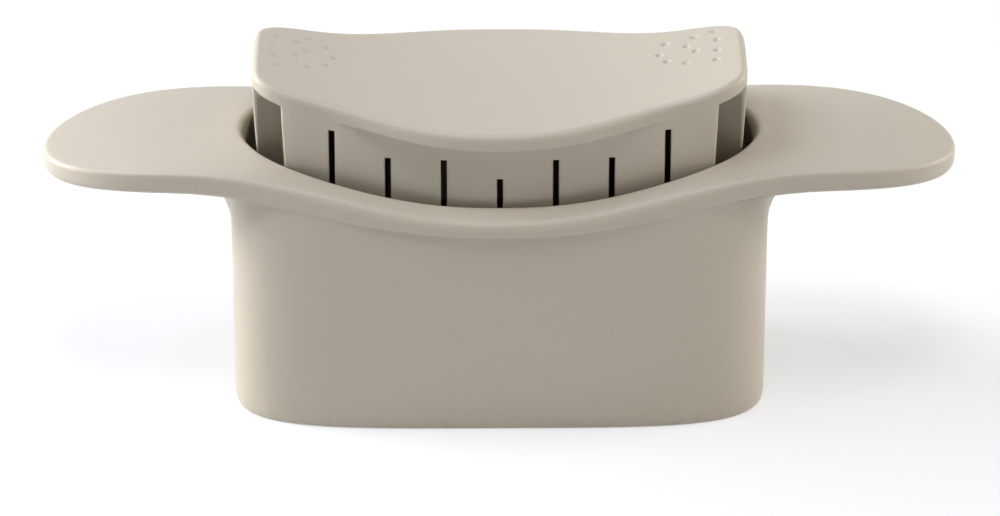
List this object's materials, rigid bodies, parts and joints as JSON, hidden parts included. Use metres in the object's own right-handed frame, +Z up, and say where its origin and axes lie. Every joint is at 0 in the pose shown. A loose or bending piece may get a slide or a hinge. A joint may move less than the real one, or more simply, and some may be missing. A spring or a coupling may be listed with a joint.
{
  "type": "potato cutter",
  "caption": "Hand-pressed potato cutter: winged plastic frame with a steel blade grid and a sliding palm pusher with a slotted skirt.",
  "frame": {"origin": "middle of the frame's foot, on the surface it stands on", "axes": "+X along the wings, +Y from front to back, +Z up through the pusher"},
  "size_m": [0.2184, 0.0624, 0.0866],
  "materials": {
    "shell_plastic": "satin",
    "inner_plastic": "matte",
    "blade_steel": "fine brushed",
    "screw_steel": "satin"
  },
  "bodies": {
    "frame": {"cutter_frame": "shell_plastic", "blade_carrier": "inner_plastic", "blade_clamp": "inner_plastic", "cross_blade_1": "blade_steel", "cross_blade_2": "blade_steel", "cross_blade_3": "blade_steel", "cross_blade_4": "blade_steel", "cross_blade_5": "blade_steel", "cross_blade_6": "blade_steel", "cross_blade_7": "blade_steel", "long_blade_1": "blade_steel", "long_blade_2": "blade_steel", "long_blade_3": "blade_steel", "carrier_screw_1": "screw_steel", "carrier_screw_2": "screw_steel", "carrier_screw_3": "screw_steel", "carrier_screw_4": "screw_steel"},
    "pusher": {"pusher_cover": "shell_plastic", "pusher_ram": "inner_plastic", "ram_screw_1": "screw_steel", "ram_screw_2": "screw_steel", "ram_screw_3": "screw_steel", "ram_screw_4": "screw_steel"}
  },
  "joints": [
    {"name": "pusher_slide", "type": "slide", "parent": "frame", "child": "pusher", "axis": [0, 0, 1], "range_m": [-0.0148, 0.036]}
  ]
}
